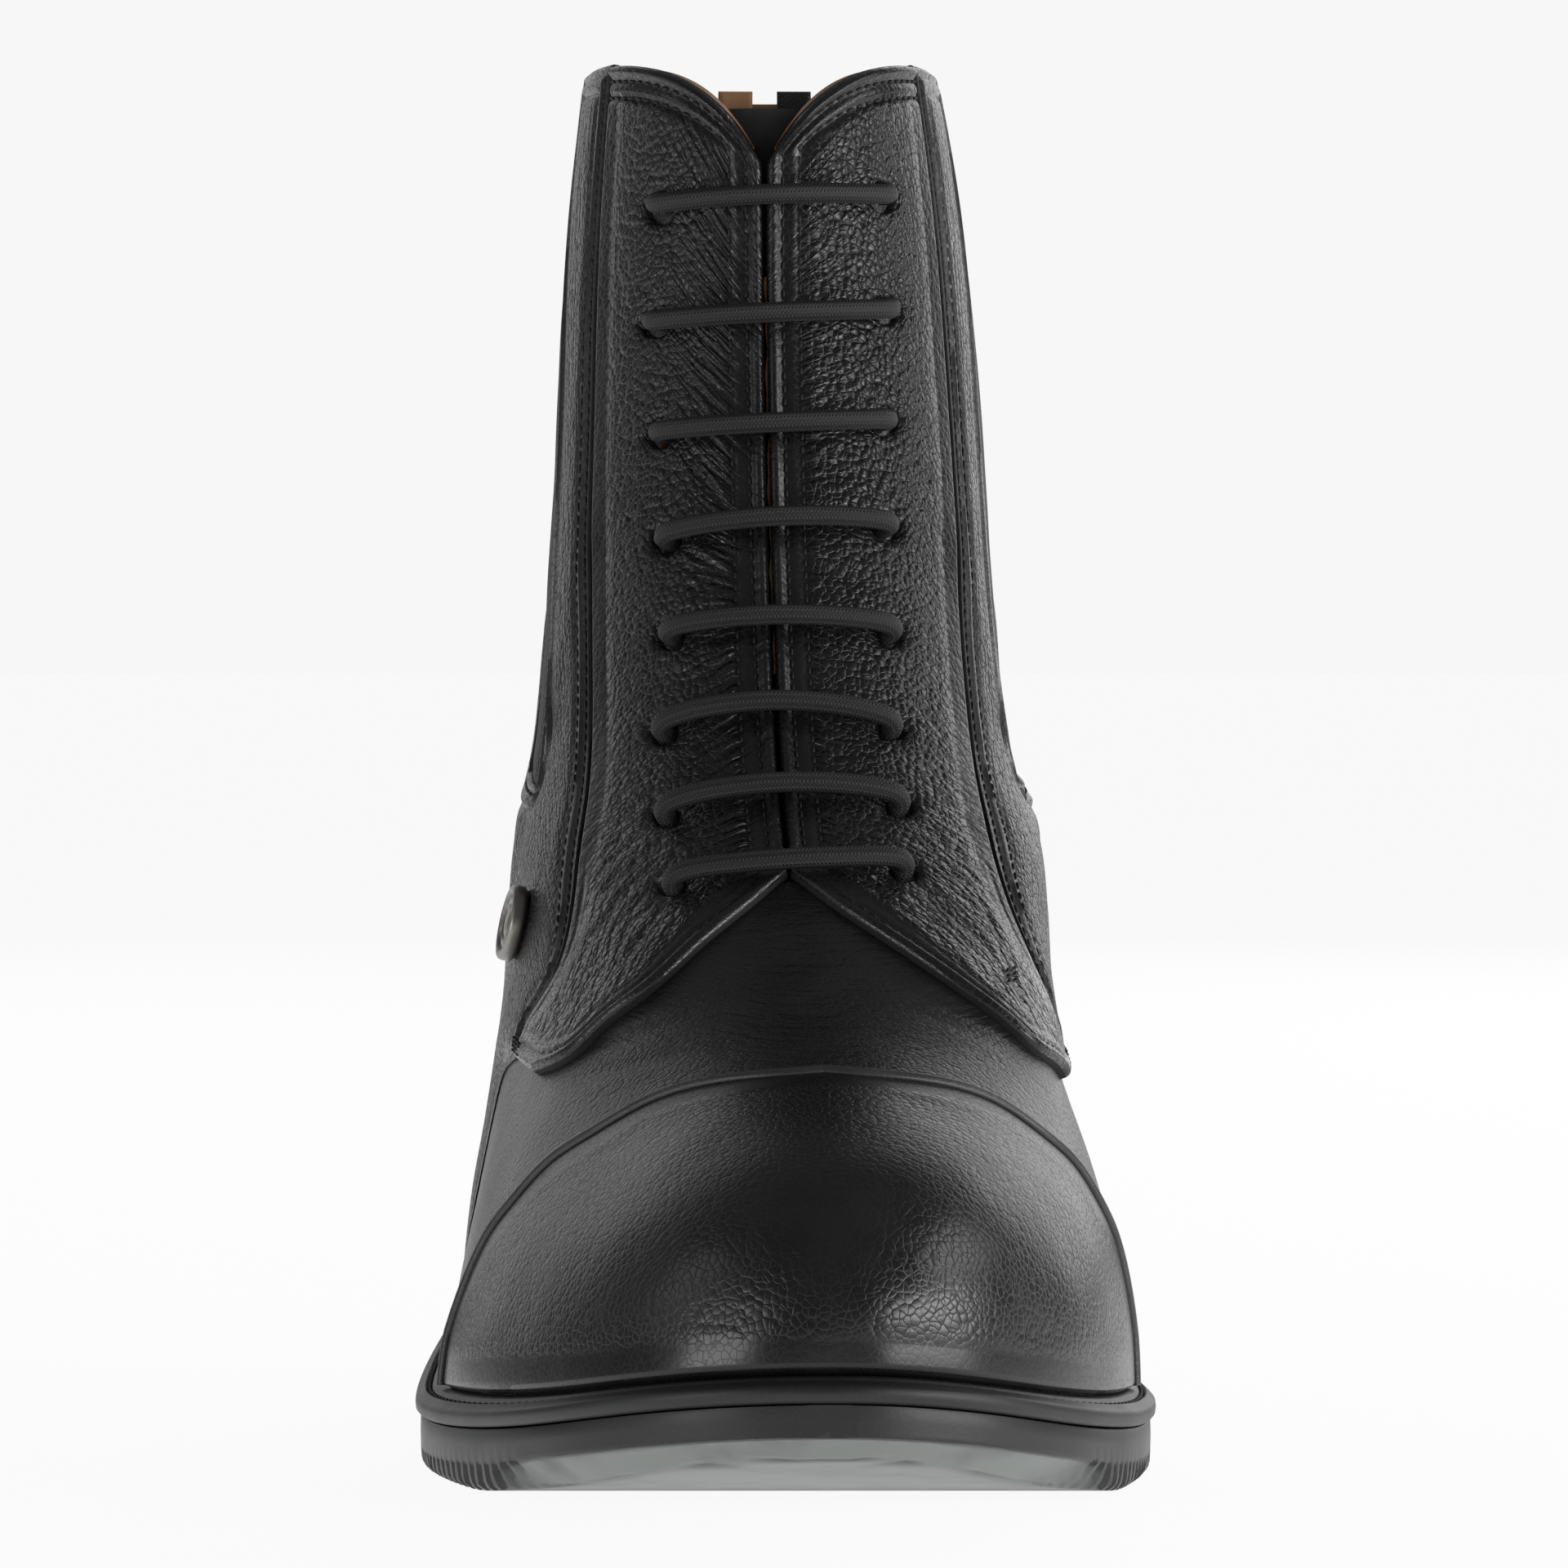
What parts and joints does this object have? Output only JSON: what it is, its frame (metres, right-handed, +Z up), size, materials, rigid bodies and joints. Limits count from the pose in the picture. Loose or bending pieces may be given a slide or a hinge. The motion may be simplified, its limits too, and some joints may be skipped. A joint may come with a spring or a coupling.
{
  "type": "lace-up ankle boot",
  "caption": "Black leather lace-up ankle boot for the right foot with capped toe, elastic side panels, elastic lace bars and a low-heeled rubber sole",
  "frame": {"origin": "on the floor under the middle of the boot's bounding box", "axes": "toe to -Y, heel to +Y, outer side of the foot to -X, inner side to +X, +Z up from the floor"},
  "size_m": [0.1039, 0.278, 0.2016],
  "materials": {
    "cap_bead": "rolled black leather edge",
    "facing_inner": "tumbled black leather",
    "facing_outer": "tumbled black leather",
    "gore_inner": "black elastic webbing",
    "gore_outer": "black elastic webbing",
    "insole": "tan leather footbed",
    "lace_bar_1": "black round elastic cord",
    "lace_bar_2": "black round elastic cord",
    "lace_bar_3": "black round elastic cord",
    "lace_bar_4": "black round elastic cord",
    "lace_bar_5": "black round elastic cord",
    "lace_bar_6": "black round elastic cord",
    "lace_bar_7": "black round elastic cord",
    "lace_bar_8": "black round elastic cord",
    "outsole": "dark grey-green moulded rubber, satin",
    "pull_tab_inner": "black webbing",
    "pull_tab_outer": "black webbing with tan inside",
    "quarters": "tumbled black leather",
    "side_disc": "antique silver",
    "toe_cap": "black leather, polished",
    "tongue": "black suede",
    "upper": "tumbled full-grain black leather, semi-gloss",
    "welt": "dark rubber rim"
  },
  "bodies": {
    "root": {"cap_bead": "cap_bead", "facing_inner": "facing_inner", "facing_outer": "facing_outer", "gore_inner": "gore_inner", "gore_outer": "gore_outer", "insole": "insole", "lace_bar_1": "lace_bar_1", "lace_bar_2": "lace_bar_2", "lace_bar_3": "lace_bar_3", "lace_bar_4": "lace_bar_4", "lace_bar_5": "lace_bar_5", "lace_bar_6": "lace_bar_6", "lace_bar_7": "lace_bar_7", "lace_bar_8": "lace_bar_8", "outsole": "outsole", "pull_tab_inner": "pull_tab_inner", "pull_tab_outer": "pull_tab_outer", "quarters": "quarters", "side_disc": "side_disc", "toe_cap": "toe_cap", "tongue": "tongue", "upper": "upper", "welt": "welt"}
  },
  "joints": []
}
